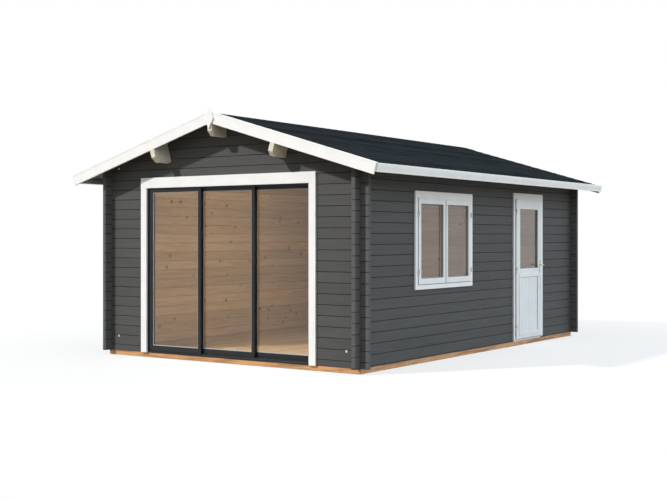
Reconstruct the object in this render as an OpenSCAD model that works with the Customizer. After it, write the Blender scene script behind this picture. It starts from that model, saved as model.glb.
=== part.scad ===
// Log cabin with a low gable roof, a three-panel sliding front, a side window and a half-glazed side door.
// The front gable faces -Y, the wall with the door faces +X, and Z = 0 is the ground under the foundation.

/* [Walls] */
// Width across the front, between the outer wall faces
wall_w = 3612; // [3300:2:4200]
// Depth from front to back, between the outer wall faces
wall_d = 5512; // [5000:2:6500]
// Thickness of a wall log
log_t = 44; // [38:1:56]
// Height of a wall log, from joint to joint
log_pitch = 114.7; // [112:0.1:120]
// Whole logs in a side wall that end above the tallest opening
logs_over = 2; // [1:1:3]
// Height of the bevelled top log, at the outer face of a side wall
plate_h = 76; // [66:1:100]
// Extra height of the lowest log, below the log grid
sill_lip = 12.6; // [4:0.1:20]
// Length of the log ends beyond a corner
corner_reach = 98; // [60:1:140]
// Clearance between crossing logs in a corner notch
notch_gap = 0.2; // [0.1:0.1:1]
// Bevel along the long edges of a log
log_bevel = 5; // [2:0.5:8]
// Width of the tongue along the top of a log
tongue_w = 14; // [10:1:18]
// Height of the tongue
tongue_h = 8; // [5:0.5:12]
// Clearance round the tongue in the groove of the next log
tongue_gap = 0.4; // [0.2:0.1:1]
// Room for the logs to settle above the windows and doors, behind the trim
settle_gap = 22; // [15:1:30]

/* [Foundation and floor] */
// Height of the foundation beams
found_h = 56; // [40:1:90]
// Width of the foundation beams
found_w = 70; // [60:1:120]
// Distance of the foundation's outer faces behind the wall faces
found_in = 6; // [0:1:20]
// Thickness of the floor
floor_t = 28; // [18:1:40]
// Gap between the floor and the walls
floor_gap = 6; // [2:1:12]
// Width of a floor joist
joist_w = 45; // [36:1:70]
// Number of floor joists
joists = 9; // [6:1:12]
// Clear space between the end joists and the beams beside them
joist_margin = 60; // [20:5:150]

/* [Roof] */
// Slope of the roof in degrees
roof_pitch = 16.5; // [14:0.5:20]
// Reach of the roof beyond the front and back walls
gable_reach = 252; // [180:2:400]
// Reach of the roof's underside beyond the side walls
eave_reach = 358; // [250:2:600]
// Gap between slanted roof pieces that lie on one another
seat_gap = 0.2; // [0.1:0.1:0.5]
// Thickness of the roof boards
board_t = 18; // [14:1:28]
// Thickness of the shingles
shingle_t = 8; // [4:0.5:14]
// Width of the ridge strip on each slope
ridge_strip_w = 150; // [100:5:220]
// Thickness of a barge board
barge_t = 20; // [14:1:28]
// Depth of a barge board, across the slope
barge_h = 110; // [90:1:150]
// Thickness of a barge cap
cap_t = 15; // [12:1:26]
// Width of a barge cap, front to back
cap_w = 40; // [30:1:80]
// Thickness of an eave board
fascia_t = 18; // [14:1:28]
// Height of an eave board, across the slope
fascia_h = 89; // [70:1:120]
// Height of an eave board above the shingles
fascia_rise = 10; // [4:1:20]
// Width of the pointed board over the barge joint
finial_w = 122; // [100:2:200]
// Height of the pointed board from tip to tip
finial_h = 234; // [200:2:280]
// Width of the pointed board at its shoulders
shoulder_w = 74; // [50:2:100]
// Depth of the shoulders below the upper tip
shoulder_drop = 51; // [30:1:70]
// Depth of the widest place below the upper tip
waist_drop = 121; // [90:1:150]
// Height of the upper tip above the barge caps
finial_rise = 39; // [10:1:60]
// Thickness of the pointed board
finial_t = 18; // [12:1:24]

/* [Purlins] */
// Width of a purlin
purlin_w = 60; // [44:1:80]
// Depth of a purlin
purlin_h = 228; // [160:2:260]
// Distance of a side purlin from the ridge, along the level
purlin_x = 887; // [700:1:1000]
// Length of the slanted cut under a purlin end
purlin_cut = 50; // [30:2:120]
// Height of the slanted cut under a purlin end
purlin_cut_h = 52; // [30:2:100]

/* [Trim boards] */
// Thickness of the trim boards
trim_t = 22; // [14:1:26]
// Width of the trim beside the sliding front
front_trim_w = 88; // [80:1:140]
// Height of the trim over the sliding front
front_trim_h = 121; // [80:1:140]
// Width of the trim beside the window
window_trim_w = 53; // [40:1:120]
// Height of the trim over the window
window_trim_h = 84; // [60:1:120]
// Height of the trim board under the window
sill_trim_h = 54; // [50:1:100]
// Width of the trim beside the door
door_trim_w = 52; // [40:1:120]
// Height of the trim over the door
door_trim_h = 73; // [60:1:120]
// Height of the door trim's foot above the foundation
trim_foot = 22; // [10:1:40]

/* [Sliding front] */
// Clear width of the opening in the front wall
slider_w = 2360; // [2200:5:2600]
// Height of the opening above the foundation
slider_h = 1932; // [1850:2:1990]
// Trim reach over the edge of the opening
slider_cover = 11; // [5:1:26]
// Depth of the sliding frame, front to back
slider_depth = 110; // [106:1:150]
// Thickness of the frame at the sides
jamb_t = 30; // [24:1:45]
// Thickness of the frame at the top and bottom
rail_t = 18; // [14:1:30]
// Distance from one track to the next
track_step = 34; // [33:1:40]
// Distance of the outer track from the wall face
track_in = 20; // [20:1:30]
// Thickness of a sliding panel
panel_t = 28; // [24:1:28]
// Width of a panel's upright bars
stile_w = 44; // [36:1:70]
// Height of a panel's top bar
panel_top_h = 34; // [34:1:80]
// Height of a panel's bottom bar
panel_foot_h = 60; // [50:1:100]
// Thickness of the glass sheets
glass_t = 8; // [4:1:12]
// Depth of the groove that holds a sheet of glass
glass_in = 10; // [6:1:14]
// Width of a track rib
rib_w = 6; // [4:1:8]
// Height of a track rib
rib_h = 10; // [8:1:16]
// Running clearance round a panel
run_gap = 6; // [5:0.5:10]
// Gap where a panel sits on its track rib
ride_gap = 0.3; // [0.1:0.1:0.6]

/* [Window] */
// Distance of the window's middle in front of the middle of the side wall
window_y = 1000; // [900:2:1100]
// Clear width of the window opening
window_w = 1266; // [1100:2:1360]
// Clear height of the window opening
window_h = 982; // [850:2:1020]
// Height of the opening's lower edge above the foundation
window_z = 809; // [780:1:900]
// Thickness of the window's outer frame
frame_t = 12; // [10:1:30]
// Depth of the window and door frames
frame_depth = 64; // [56:1:90]
// Width of the stop behind a casement or the door leaf
stop_w = 14; // [10:1:22]
// Width of a casement's outer upright and top bar
sash_w = 55; // [44:1:80]
// Width of the uprights where the two casements meet
meet_w = 48; // [40:1:80]
// Gap between the two casements
meet_gap = 5; // [2:0.5:8]
// Height of a casement's bottom bar
sash_foot_h = 64; // [44:1:90]
// Thickness of a casement
sash_t = 50; // [40:1:60]
// Reach of a casement in front of the wall face
sash_proud = 30; // [10:1:44]
// Gap round a casement
sash_gap = 3; // [1:0.5:5]
// Depth of the window's glass behind the outer face of a casement
sash_recess = 32; // [10:1:36]

/* [Side door] */
// Distance of the door's middle behind the middle of the side wall
door_y = 1267; // [1200:1:1400]
// Width of the door leaf
leaf_w = 771; // [680:1:820]
// Height of the door leaf
leaf_h = 1805; // [1700:1:2150]
// Thickness of the door leaf
leaf_t = 50; // [40:1:60]
// Reach of the door leaf in front of the wall face
leaf_proud = 29; // [24:1:40]
// Gap round the door leaf
leaf_gap = 8; // [8:0.5:10]
// Height of the threshold above the foundation
threshold_h = 24; // [16:1:40]
// Thickness of the door frame
door_frame_t = 30; // [24:1:40]
// Width of the leaf's upright bars
leaf_stile_w = 112; // [80:1:140]
// Height of the leaf's top bar
leaf_top_h = 124; // [80:1:140]
// Height of the middle bar's upper edge above the leaf's foot
leaf_mid_z = 908; // [850:1:950]
// Height of the middle bar
leaf_mid_h = 106; // [70:1:130]
// Height of the leaf's bottom bar
leaf_foot_h = 75; // [60:1:160]
// Thickness of the lower panel
leaf_panel_t = 34; // [14:1:40]

/* [Door fittings] */
// Radius of a hinge knuckle
knuckle_r = 6; // [5:0.5:8]
// Length of each half of a hinge
knuckle_h = 38; // [30:1:50]
// Radius of a hinge pin
pin_r = 3.5; // [2.5:0.5:4]
// Clearance round a hinge pin
pin_gap = 0.3; // [0.2:0.05:0.5]
// Thickness of a hinge plate
hinge_plate_t = 2.5; // [2:0.5:4]
// Gap between a hinge knuckle and the face of the leaf
knuckle_gap = 1; // [0.5:0.5:2]
// Length of a hinge plate on the leaf
hinge_plate_w = 40; // [30:1:60]
// Width of a hinge's foot on the trim
hinge_foot_w = 14; // [10:1:30]
// Height of the hinges above the leaf's foot
hinge_zs = [110, 849, 1604]; // [0:1:2000]
// Height of the handle above the leaf's foot
handle_z = 948; // [900:1:1050]
// Distance of the handle from the leaf's free edge
backset = 45; // [36:1:70]
// Height of a handle plate
plate_len = 186; // [130:1:240]
// Length of a handle plate below the lever
plate_drop = 119; // [80:1:180]
// Width of a handle plate
plate_w = 34; // [30:1:46]
// Thickness of a handle plate
plate_t = 6; // [4:1:9]
// Radius of the handle's neck
neck_r = 9; // [7:0.5:11]
// Reach of the handle's neck from its plate
neck_len = 56; // [36:1:64]
// Length of the handle's lever
lever_len = 122; // [90:1:140]
// Radius of the bar that joins the two levers
spindle_r = 5; // [4:0.5:6]

/* [Hidden] */

$fn = 48;
// Overshoot of a cut past the face that it opens
over = 1;

half_w = wall_w / 2;
half_d = wall_d / 2;
grid_z = found_h + sill_lip;
found_x = half_w - found_in;
found_y = half_d - found_in;

// Openings through the walls
slider_half = slider_w / 2;
slider_top = found_h + slider_h;
window_low = found_h + window_z;
window_high = window_low + window_h;
leaf_z = found_h + threshold_h + leaf_gap;
door_half = leaf_w / 2 + leaf_gap + door_frame_t;
door_top = leaf_z + leaf_h + leaf_gap + door_frame_t;

// Whole logs in a side wall, and the roof that lies on them
open_top = max(slider_top, window_high, door_top) + settle_gap;
side_courses = floor((open_top - grid_z) / log_pitch) + logs_over;
eave_z = grid_z + side_courses * log_pitch + plate_h;
ridge_z = eave_z + half_w * tan(roof_pitch);
slope_len = (half_w + eave_reach) / cos(roof_pitch);
side_axis = half_w - log_t / 2;
end_axis = half_d - log_t / 2;
quarter = log_pitch / 4;
roof_half = half_d + gable_reach;
boards_half = roof_half - barge_t;
board_end = slope_len - fascia_t - seat_gap;
shingle_top = board_t + shingle_t;
barge_low = shingle_top - barge_h;
gable_courses = floor((ridge_z - end_bottom(1)) / log_pitch) + 1;

// Height of the roof's underside over a place on the level
function roof_z(x) = ridge_z - abs(x) * tan(roof_pitch);
// A point on the right slope: s runs down from the ridge, n stands off the roof's underside
function slope_pt(s, n) = [
    s * cos(roof_pitch) + n * sin(roof_pitch),
    ridge_z - s * sin(roof_pitch) + n * cos(roof_pitch)];
// Height above the ridge line of a layer that lies n off the roof's underside
function ridge_pt(n) = [0, ridge_z + n / cos(roof_pitch)];
// Outline of a roof layer between two distances from the roof's underside
function slope_layer(n0, n1, s) = [ridge_pt(n0), slope_pt(s, n0), slope_pt(s, n1), ridge_pt(n1)];

// Lower and upper joints of a side wall log, counted from 0
function side_bottom(i) = i == 0 ? found_h : grid_z + i * log_pitch;
function side_top(i) = grid_z + (i + 1) * log_pitch;
// Lower and upper joints of a front or back wall log, where 0 is the half log at the bottom
function end_bottom(i) = i == 0 ? found_h : grid_z + (i - 0.5) * log_pitch;
function end_top(i) = grid_z + (i + 0.5) * log_pitch;

// Section of a log, upright: bevelled edges, a tongue along the top and a groove along the bottom
function log_section(bottom, top) =
    let (h = log_t / 2, b = log_bevel, t = tongue_w / 2, g = t + tongue_gap,
         deep = bottom + tongue_h + tongue_gap, high = top + tongue_h)
    [[-h, bottom + b], [b - h, bottom], [-g, bottom], [-g, deep],
     [g, deep], [g, bottom], [h - b, bottom], [h, bottom + b],
     [h, top - b], [h - b, top], [t, top], [t, high],
     [-t, high], [-t, top], [b - h, top], [-h, top - b]];

module along_x(from, to) {
    translate([from, 0, 0])
        rotate([90, 0, 90])
            linear_extrude(to - from)
                children();
}

module along_y(from, to) {
    translate([0, to, 0])
        rotate([90, 0, 0])
            linear_extrude(to - from)
                children();
}

module block(low, high) {
    translate(low)
        cube(high - low);
}

// Mirrors its children to the left slope when side is -1
module on_side(side) {
    mirror([side < 0 ? 1 : 0, 0, 0])
        children();
}

// Everything below the roof's underside
module under_roof() {
    reach = half_w + corner_reach + over;
    side = roof_z(reach) - seat_gap;
    along_y(-roof_half, roof_half)
        polygon([[-reach, 0], [reach, 0], [reach, side], [0, ridge_z - seat_gap], [-reach, side]]);
}

// Cuts across a log where another wall's logs pass, above and below its neck
module notches(axis, bottom, top) {
    for (x = [-axis, axis]) {
        translate([x - log_t / 2, -log_t / 2 - over, top - notch_gap / 2])
            cube([log_t, log_t + 2 * over, log_pitch]);
        translate([x - log_t / 2, -log_t / 2 - over, bottom - log_pitch + notch_gap / 2])
            cube([log_t, log_t + 2 * over, log_pitch]);
    }
}

// A log along X at Y = 0, cut to the roof's slopes where it meets them
module end_bar(i, reach) {
    intersection() {
        along_x(-reach, reach)
            polygon(log_section(end_bottom(i), end_top(i)));
        under_roof();
    }
}

// A log of a front or back wall, with notches at both corners
module end_log(i) {
    difference() {
        end_bar(i, half_w + corner_reach);
        notches(side_axis, i == 0 ? found_h - over : end_bottom(i) + quarter, end_top(i) - quarter);
    }
}

// A gable log, cut round the purlins
module gable_log(i) {
    difference() {
        end_bar(i, half_w);
        ridge_purlin_shape();
        side_purlin_shapes();
    }
}

// The logs of a front or back wall, every second one from the given course up
module end_wall(first) {
    for (i = [first : 2 : side_courses])
        end_log(i);
    for (i = [first : 2 : gable_courses])
        if (i > side_courses)
            gable_log(i);
}

// A log of a side wall, along Y at X = 0
module side_log(i) {
    reach = half_d + corner_reach;
    rotate([0, 0, 90])
        difference() {
            along_x(-reach, reach)
                polygon(log_section(side_bottom(i), side_top(i)));
            notches(end_axis, grid_z + i * log_pitch + quarter, side_top(i) - quarter);
        }
}

// The top log of the right wall, bevelled to the roof and notched for the lowest gable logs
module plate_log() {
    reach = half_d + corner_reach;
    bottom = side_bottom(side_courses);
    difference() {
        intersection() {
            translate([side_axis, 0, 0])
                rotate([0, 0, 90])
                    along_x(-reach, reach)
                        polygon(log_section(bottom, bottom + 2 * log_pitch));
            under_roof();
        }
        translate([side_axis, 0, 0])
            rotate([0, 0, 90])
                notches(end_axis, bottom + quarter, end_bottom(side_courses + 1));
    }
}

// The logs of the right wall, every second one from the given course up
module side_wall(first) {
    for (i = [first : 2 : side_courses - 1])
        translate([side_axis, 0, 0])
            side_log(i);
    if ((side_courses - first) % 2 == 0)
        plate_log();
}

module slider_opening() {
    block([-slider_half, -half_d - over, found_h - over],
          [slider_half, -half_d + log_t + over, slider_top + settle_gap]);
}

module window_opening() {
    block([half_w - log_t - over, -window_y - window_w / 2, window_low],
          [half_w + over, -window_y + window_w / 2, window_high + settle_gap]);
}

module door_opening() {
    block([half_w - log_t - over, door_y - door_half, found_h - over],
          [half_w + over, door_y + door_half, door_top + settle_gap]);
}

module front_logs(first) {
    color("dimgray")
        difference() {
            translate([0, -end_axis, 0])
                end_wall(first);
            slider_opening();
        }
}

module back_logs(first) {
    color("dimgray")
        translate([0, end_axis, 0])
            end_wall(first);
}

module right_logs(first) {
    color("dimgray")
        difference() {
            side_wall(first);
            window_opening();
            door_opening();
        }
}

module left_logs(first) {
    color("dimgray")
        mirror([1, 0, 0])
            side_wall(first);
}

module foundation_ends() {
    color("peru")
        for (y = [-found_y, found_y - found_w])
            block([-found_x, y, 0], [found_x, y + found_w, found_h]);
}

module foundation_sides() {
    color("peru")
        for (x = [-found_x, found_x - found_w])
            block([x, found_w - found_y, 0], [x + found_w, found_y - found_w, found_h]);
}

module floor_joists() {
    first = found_w + joist_margin - found_y;
    last = found_y - found_w - joist_margin - joist_w;
    color("peru")
        for (i = [0 : joists - 1]) {
            y = first + (last - first) * i / (joists - 1);
            block([found_w - found_x, y, 0], [found_x - found_w, y + joist_w, found_h]);
        }
}

module floor_slab() {
    x = half_w - log_t - floor_gap;
    y = half_d - log_t - floor_gap;
    color("burlywood")
        difference() {
            block([-x, -y, found_h], [x, y, found_h + floor_t]);
            block([-slider_half - floor_gap, -half_d, 0],
                  [slider_half + floor_gap, -half_d + slider_depth + floor_gap, found_h + floor_t + over]);
            block([half_w - frame_depth - floor_gap, door_y - door_half - floor_gap, 0],
                  [half_w, door_y + door_half + floor_gap, found_h + floor_t + over]);
        }
}

// Side view of a purlin, its upper face at Z = 0, with a slanted cut under each end
module purlin_side() {
    y = roof_half - seat_gap;
    polygon([[-y, 0], [-y, purlin_cut_h - purlin_h], [purlin_cut - y, -purlin_h],
             [y - purlin_cut, -purlin_h], [y, purlin_cut_h - purlin_h], [y, 0]]);
}

// Room for the barge boards at both ends of the purlins
module barge_room() {
    low = barge_low - seat_gap;
    for (side = [-1, 1], y = [-roof_half - over, boards_half - seat_gap])
        on_side(side)
            along_y(y, y + barge_t + seat_gap + over)
                polygon(slope_layer(low, shingle_top, board_end));
}

module ridge_purlin_shape() {
    difference() {
        intersection() {
            translate([0, 0, ridge_z])
                along_x(-purlin_w / 2, purlin_w / 2)
                    purlin_side();
            under_roof();
        }
        barge_room();
    }
}

module side_purlin_shapes() {
    difference() {
        for (side = [-1, 1])
            translate([side * purlin_x, 0, roof_z(purlin_x) - seat_gap])
                rotate([0, side * roof_pitch, 0])
                    along_x(-purlin_w / 2, purlin_w / 2)
                        purlin_side();
        barge_room();
    }
}

module ridge_purlin() {
    color("wheat")
        ridge_purlin_shape();
}

module side_purlins() {
    color("wheat")
        side_purlin_shapes();
}

module roof_boards(side) {
    color("wheat")
        on_side(side)
            along_y(-boards_half, boards_half)
                polygon(slope_layer(0, board_t, board_end));
}

module shingles(side) {
    color("darkslategray")
        on_side(side)
            along_y(-boards_half, boards_half)
                polygon(slope_layer(board_t + seat_gap, shingle_top, board_end));
}

module ridge_strip(side) {
    color("darkslategray")
        on_side(side)
            along_y(cap_w - roof_half, boards_half)
                polygon(slope_layer(shingle_top + seat_gap, shingle_top + shingle_t / 2, ridge_strip_w));
}

module barge_boards(side) {
    color("white")
        on_side(side)
            for (y = [-roof_half, roof_half - barge_t])
                along_y(y, y + barge_t)
                    polygon(slope_layer(barge_low, shingle_top, board_end));
}

// Cap over the front barge board and the edge of the shingles
module barge_caps(side) {
    color("white")
        on_side(side)
            along_y(-roof_half, cap_w - roof_half)
                polygon(slope_layer(shingle_top + seat_gap, shingle_top + cap_t, board_end));
}

// Board over the joint of the barge boards, pointed at the top and bottom
module finial_shape(y) {
    top = ridge_pt(shingle_top + cap_t)[1] + finial_rise;
    w = finial_w / 2;
    v = shoulder_w / 2;
    along_y(y, y + finial_t)
        polygon([[0, top], [v, top - shoulder_drop], [w, top - waist_drop], [0, top - finial_h],
                 [-w, top - waist_drop], [-v, top - shoulder_drop]]);
}

// The one at the back is cut level with the barge boards
module gable_finials() {
    color("white") {
        finial_shape(-roof_half - finial_t);
        intersection() {
            finial_shape(roof_half);
            for (side = [-1, 1])
                on_side(side)
                    along_y(roof_half, roof_half + finial_t)
                        polygon(slope_layer(-finial_h, shingle_top, finial_w));
        }
    }
}

module eave_boards() {
    inner = slope_len - fascia_t;
    high = shingle_top + fascia_rise;
    low = high - fascia_h;
    color("gainsboro")
        for (side = [-1, 1])
            on_side(side)
                along_y(-boards_half, boards_half)
                    polygon([slope_pt(inner, low), slope_pt(slope_len, low),
                             slope_pt(slope_len, high), slope_pt(inner, high)]);
}

// Trim round the sliding front, the window and the door
slider_trim_in = slider_half - slider_cover;
slider_trim_low = slider_top - slider_cover;
window_in = window_w / 2 - frame_t;
door_in = leaf_w / 2 + leaf_gap;
door_trim_low = leaf_z + leaf_h + leaf_gap;

module trim_uprights() {
    color("white") {
        for (side = [-1, 1])
            on_side(side)
                block([slider_trim_in, -half_d - trim_t, found_h],
                      [slider_trim_in + front_trim_w, -half_d, slider_trim_low]);
        for (y = [-window_y - window_in - window_trim_w, -window_y + window_in])
            block([half_w, y, window_low + frame_t],
                  [half_w + trim_t, y + window_trim_w, window_high - frame_t]);
        for (y = [door_y - door_in - door_trim_w, door_y + door_in])
            block([half_w, y, found_h + trim_foot], [half_w + trim_t, y + door_trim_w, door_trim_low]);
    }
}

module trim_crosspieces() {
    x = slider_trim_in + front_trim_w;
    y = window_in + window_trim_w;
    v = door_in + door_trim_w;
    color("white") {
        block([-x, -half_d - trim_t, slider_trim_low], [x, -half_d, slider_trim_low + front_trim_h]);
        block([half_w, -window_y - y, window_high - frame_t],
              [half_w + trim_t, -window_y + y, window_high - frame_t + window_trim_h]);
        block([half_w, -window_y - y, window_low + frame_t - sill_trim_h],
              [half_w + trim_t, -window_y + y, window_low + frame_t]);
        block([half_w, door_y - v, door_trim_low],
              [half_w + trim_t, door_y + v, door_trim_low + door_trim_h]);
    }
}

// Sliding front
slider_y0 = -half_d;
slider_y1 = slider_y0 + slider_depth;
track_ys = [for (k = [0 : 2]) slider_y0 + track_in + k * track_step];
rib_low = found_h + rail_t + rib_h;
rib_high = slider_top - rail_t - rib_h;
panel_low = found_h + rail_t + run_gap;
panel_high = slider_top - rail_t - run_gap;
panel_reach = slider_half - jamb_t - run_gap;
panel_w = (2 * panel_reach + 2 * stile_w) / 3;
panel_xs = [panel_w / 2 - panel_reach, 0, panel_reach - panel_w / 2];

module slider_sill() {
    color("dimgray")
        union() {
            block([-slider_half, slider_y0, found_h], [slider_half, slider_y1, found_h + rail_t]);
            for (y = track_ys)
                block([jamb_t - slider_half, y - rib_w / 2, found_h + rail_t - over],
                      [slider_half - jamb_t, y + rib_w / 2, rib_low]);
        }
}

module slider_head() {
    color("dimgray")
        union() {
            block([-slider_half, slider_y0, slider_top - rail_t], [slider_half, slider_y1, slider_top]);
            for (y = track_ys)
                block([jamb_t - slider_half, y - rib_w / 2, rib_high],
                      [slider_half - jamb_t, y + rib_w / 2, slider_top - rail_t + over]);
        }
}

module slider_jambs() {
    color("dimgray")
        for (x = [-slider_half, slider_half - jamb_t])
            block([x, slider_y0, found_h + rail_t], [x + jamb_t, slider_y1, slider_top - rail_t]);
}

// Sheet of glass of a panel, with its edges in the frame's groove
module panel_sheet(k) {
    x = panel_w / 2 - stile_w + glass_in;
    translate([panel_xs[k], track_ys[k], 0])
        block([-x, -glass_t / 2, panel_low + panel_foot_h - glass_in],
              [x, glass_t / 2, panel_high - panel_top_h + glass_in]);
}

module panel_frame(k) {
    x = panel_w / 2;
    groove = rib_w / 2 + run_gap;
    color("darkslategray")
        difference() {
            translate([panel_xs[k], track_ys[k], 0])
                difference() {
                    block([-x, -panel_t / 2, panel_low], [x, panel_t / 2, panel_high]);
                    block([stile_w - x, -panel_t, panel_low + panel_foot_h],
                          [x - stile_w, panel_t, panel_high - panel_top_h]);
                    block([-x - over, -groove, panel_low - over], [x + over, groove, rib_low + ride_gap]);
                    block([-x - over, -groove, rib_high - run_gap], [x + over, groove, panel_high + over]);
                }
            panel_sheet(k);
        }
}

module panel_glass(k) {
    color("lightblue", 0.4)
        panel_sheet(k);
}

// Window
sash_x1 = half_w + sash_proud;
sash_x0 = sash_x1 - sash_t;
sash_low = window_low + frame_t + sash_gap;
sash_high = window_high - frame_t - sash_gap;
sash_side = window_w / 2 - frame_t - sash_gap;

// Frame with a stop behind the casements
module window_frame() {
    y = window_w / 2;
    rebate = y - frame_t;
    clear = rebate - stop_w;
    x0 = half_w - frame_depth;
    color("white")
        difference() {
            block([x0, -window_y - y, window_low], [half_w, -window_y + y, window_high]);
            block([sash_x0, -window_y - rebate, window_low + frame_t],
                  [half_w + over, -window_y + rebate, window_high - frame_t]);
            block([x0 - over, -window_y - clear, window_low + frame_t + stop_w],
                  [half_w, -window_y + clear, window_high - frame_t - stop_w]);
        }
}

// The opening between a casement's bars, widened all round
module casement_light(x0, x1, grow) {
    block([x0, meet_gap / 2 + meet_w - grow, sash_low + sash_foot_h - grow],
          [x1, sash_side - sash_w + grow, sash_high - sash_w + grow]);
}

// The rear casement as drawn, and the front one when side is -1
module on_casement(side) {
    translate([0, -window_y, 0])
        mirror([0, side < 0 ? 1 : 0, 0])
            children();
}

module window_sheet() {
    x = sash_x1 - sash_recess;
    casement_light(x - glass_t, x, glass_in);
}

module window_casements() {
    color("white")
        for (side = [-1, 1])
            on_casement(side)
                difference() {
                    block([sash_x0, meet_gap / 2, sash_low], [sash_x1, sash_side, sash_high]);
                    casement_light(sash_x0 - over, sash_x1 + over, 0);
                    window_sheet();
                }
}

module window_glass() {
    color("lightblue", 0.4)
        for (side = [-1, 1])
            on_casement(side)
                window_sheet();
}

// Side door
leaf_x1 = half_w + leaf_proud;
leaf_x0 = leaf_x1 - leaf_t;
leaf_y0 = door_y - leaf_w / 2;
leaf_y1 = door_y + leaf_w / 2;
leaf_top = leaf_z + leaf_h;
pivot_x = leaf_x1 + knuckle_gap + knuckle_r;
pivot_y = leaf_y0 - leaf_gap / 2;
handle_y = leaf_y1 - backset;
handle_at = leaf_z + handle_z;

// Frame with a threshold, and a stop behind the leaf on three sides
module door_frame() {
    x0 = half_w - frame_depth;
    color("white")
        difference() {
            block([x0, door_y - door_half, found_h], [half_w, door_y + door_half, door_top]);
            block([leaf_x0 - leaf_gap, leaf_y0 - leaf_gap, found_h + threshold_h],
                  [half_w + over, leaf_y1 + leaf_gap, leaf_top + leaf_gap]);
            block([x0 - over, leaf_y0 - leaf_gap + stop_w, found_h + threshold_h],
                  [half_w, leaf_y1 + leaf_gap - stop_w, leaf_top + leaf_gap - stop_w]);
        }
}

module door_sheet() {
    x = (leaf_x0 + leaf_x1) / 2;
    block([x - glass_t / 2, leaf_y0 + leaf_stile_w - glass_in, leaf_z + leaf_mid_z - glass_in],
          [x + glass_t / 2, leaf_y1 - leaf_stile_w + glass_in, leaf_top - leaf_top_h + glass_in]);
}

module door_leaf() {
    panel_in = (leaf_t - leaf_panel_t) / 2;
    color("white")
        difference() {
            block([leaf_x0, leaf_y0, leaf_z], [leaf_x1, leaf_y1, leaf_top]);
            block([leaf_x0 - over, leaf_y0 + leaf_stile_w, leaf_z + leaf_mid_z],
                  [leaf_x1 + over, leaf_y1 - leaf_stile_w, leaf_top - leaf_top_h]);
            for (x = [leaf_x0 - over, leaf_x1 - panel_in])
                block([x, leaf_y0 + leaf_stile_w, leaf_z + leaf_foot_h],
                      [x + panel_in + over, leaf_y1 - leaf_stile_w, leaf_z + leaf_mid_z - leaf_mid_h]);
            door_sheet();
            translate([leaf_x0 - over, handle_y, handle_at])
                rotate([0, 90, 0])
                    cylinder(r = spindle_r + pin_gap, h = leaf_t + 2 * over);
        }
}

module door_glass() {
    color("lightblue", 0.4)
        door_sheet();
}

// Lower halves of the lift-off hinges, with the pins, on feet that stand on the door's trim
module door_hinge_pins() {
    foot_y = -leaf_gap / 2;
    color("silver")
        for (z = hinge_zs)
            translate([pivot_x, pivot_y, leaf_z + z])
                union() {
                    cylinder(r = knuckle_r, h = knuckle_h);
                    cylinder(r = pin_r, h = 2 * knuckle_h);
                    block([half_w + trim_t - pivot_x, foot_y - hinge_foot_w, 0], [0, foot_y, knuckle_h]);
                }
}

// Upper halves of the hinges, which turn with the leaf
module door_hinge_knuckles() {
    plate_x = leaf_x1 - pivot_x;
    color("silver")
        for (z = hinge_zs)
            translate([pivot_x, pivot_y, leaf_z + z + knuckle_h + ride_gap])
                difference() {
                    union() {
                        cylinder(r = knuckle_r, h = knuckle_h);
                        block([plate_x, 0, 0], [plate_x + hinge_plate_t, hinge_plate_w, knuckle_h]);
                    }
                    translate([0, 0, -over])
                        cylinder(r = pin_r + pin_gap, h = knuckle_h + 2 * over);
                }
}

module handle_plates() {
    color("silver")
        for (x = [leaf_x0 - plate_t, leaf_x1])
            difference() {
                block([x, handle_y - plate_w / 2, handle_at - plate_drop],
                      [x + plate_t, handle_y + plate_w / 2, handle_at - plate_drop + plate_len]);
                translate([x - over, handle_y, handle_at])
                    rotate([0, 90, 0])
                        cylinder(r = neck_r + pin_gap, h = plate_t + 2 * over);
            }
}

// Levers on both faces of the leaf, on one bar through it
module door_lever() {
    reach = plate_t + neck_len;
    color("silver")
        translate([leaf_x0, handle_y, handle_at])
            union() {
                translate([-reach, 0, 0])
                    rotate([0, 90, 0])
                        cylinder(r = spindle_r, h = leaf_t + 2 * reach);
                for (x = [-reach, leaf_t + pin_gap])
                    translate([x, 0, 0])
                        rotate([0, 90, 0])
                            cylinder(r = neck_r, h = reach - pin_gap);
                for (x = [neck_r - reach, leaf_t + reach - neck_r])
                    translate([x, 0, 0])
                        rotate([90, 0, 0])
                            cylinder(r = neck_r, h = lever_len);
            }
}

foundation_ends();
foundation_sides();
floor_joists();
floor_slab();
front_logs(1);  // front_odd_logs
front_logs(0);  // front_even_logs
back_logs(1);  // back_odd_logs
back_logs(0);  // back_even_logs
left_logs(1);  // left_odd_logs
left_logs(0);  // left_even_logs
right_logs(1);  // right_odd_logs
right_logs(0);  // right_even_logs
ridge_purlin();
side_purlins();
roof_boards(-1);  // roof_boards_left
roof_boards(1);  // roof_boards_right
shingles(-1);  // shingles_left
shingles(1);  // shingles_right
ridge_strip(-1);  // ridge_strip_left
ridge_strip(1);  // ridge_strip_right
barge_boards(-1);  // barge_boards_left
barge_boards(1);  // barge_boards_right
barge_caps(-1);  // barge_caps_left
barge_caps(1);  // barge_caps_right
gable_finials();
eave_boards();
trim_uprights();
trim_crosspieces();
slider_head();
slider_sill();
slider_jambs();
panel_frame(0);  // left_panel_frame
panel_frame(1);  // middle_panel_frame
panel_frame(2);  // right_panel_frame
panel_glass(0);  // left_panel_glass
panel_glass(1);  // middle_panel_glass
panel_glass(2);  // right_panel_glass
window_frame();
window_casements();
window_glass();
door_frame();
door_leaf();
door_glass();
door_hinge_pins();
door_hinge_knuckles();
handle_plates();
door_lever();
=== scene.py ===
"""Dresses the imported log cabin: boards, shingles, fittings, finishes, studio light and camera."""

import math

import bmesh
import bpy
from bpy.props import FloatProperty, FloatVectorProperty, IntProperty, PointerProperty
from mathutils import Matrix, Vector


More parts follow.
